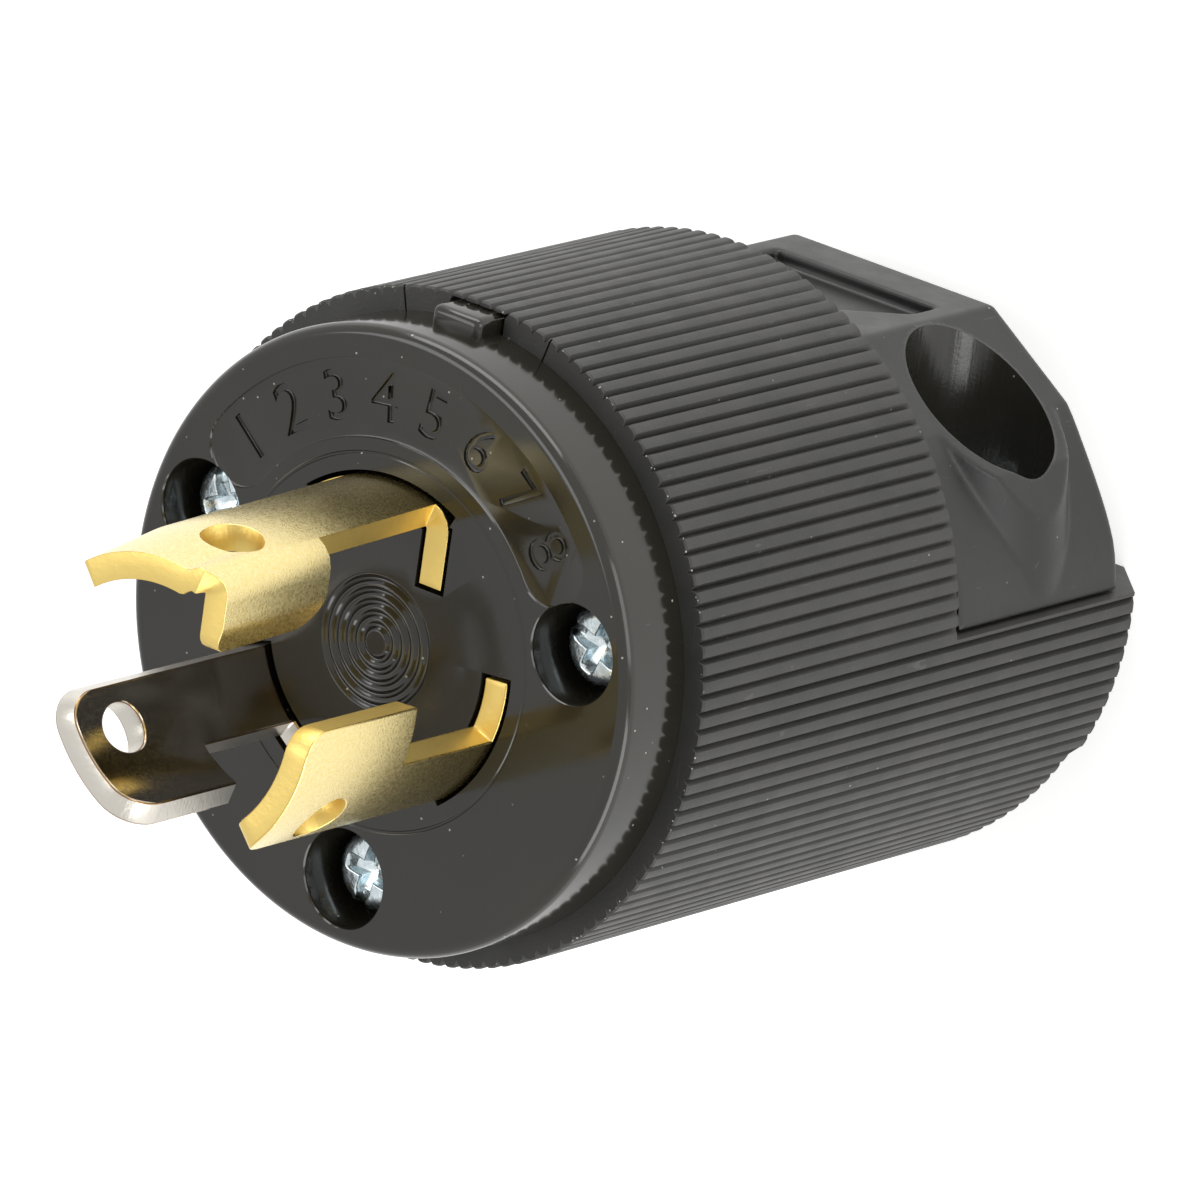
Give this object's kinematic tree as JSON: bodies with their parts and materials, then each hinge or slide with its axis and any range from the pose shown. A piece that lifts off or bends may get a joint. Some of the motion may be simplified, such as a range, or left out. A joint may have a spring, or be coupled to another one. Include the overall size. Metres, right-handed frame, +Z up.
{
  "type": "locking power plug",
  "caption": "Round twist-locking mains plug with curved blades on a glossy face, a ribbed barrel and a screw-down cord clamp at the rear.",
  "frame": {"origin": "centre of the flat rear end, where the cord enters", "axes": "+Z runs up to the blade tips, +Y towards the smooth clamp jaw, +X to the right seen from the blade side"},
  "size_m": [0.0352, 0.0352, 0.0613],
  "materials": {
    "matte_nylon": "moulded matte black",
    "satin_nylon": "moulded satin black",
    "gloss_phenolic": "moulded glossy black",
    "inner_nylon": "moulded dark grey",
    "rubber_membrane": "moulded rubber",
    "rolled_brass": "satin rolled brass",
    "nickel_plate": "bright nickel plate on brass",
    "zinc_plate": "bright zinc plate on steel",
    "green_plate": "green dyed screw"
  },
  "bodies": {
    "root": {"ribbed_housing": "matte_nylon", "face_cap": "gloss_phenolic", "terminal_body": "inner_nylon", "terminal_cover": "inner_nylon", "dust_shield": "rubber_membrane", "ground_blade": "rolled_brass", "hot_blade": "rolled_brass", "neutral_blade": "nickel_plate", "ground_clamp_plate": "zinc_plate", "hot_clamp_plate": "rolled_brass", "neutral_clamp_plate": "zinc_plate", "ground_terminal_screw": "green_plate", "hot_terminal_screw": "rolled_brass", "neutral_terminal_screw": "zinc_plate", "assembly_screws": "zinc_plate", "assembly_inserts": "rolled_brass", "upper_clamp_jaw": "satin_nylon", "clamp_screws": "zinc_plate", "clamp_nuts": "zinc_plate"}
  },
  "joints": []
}
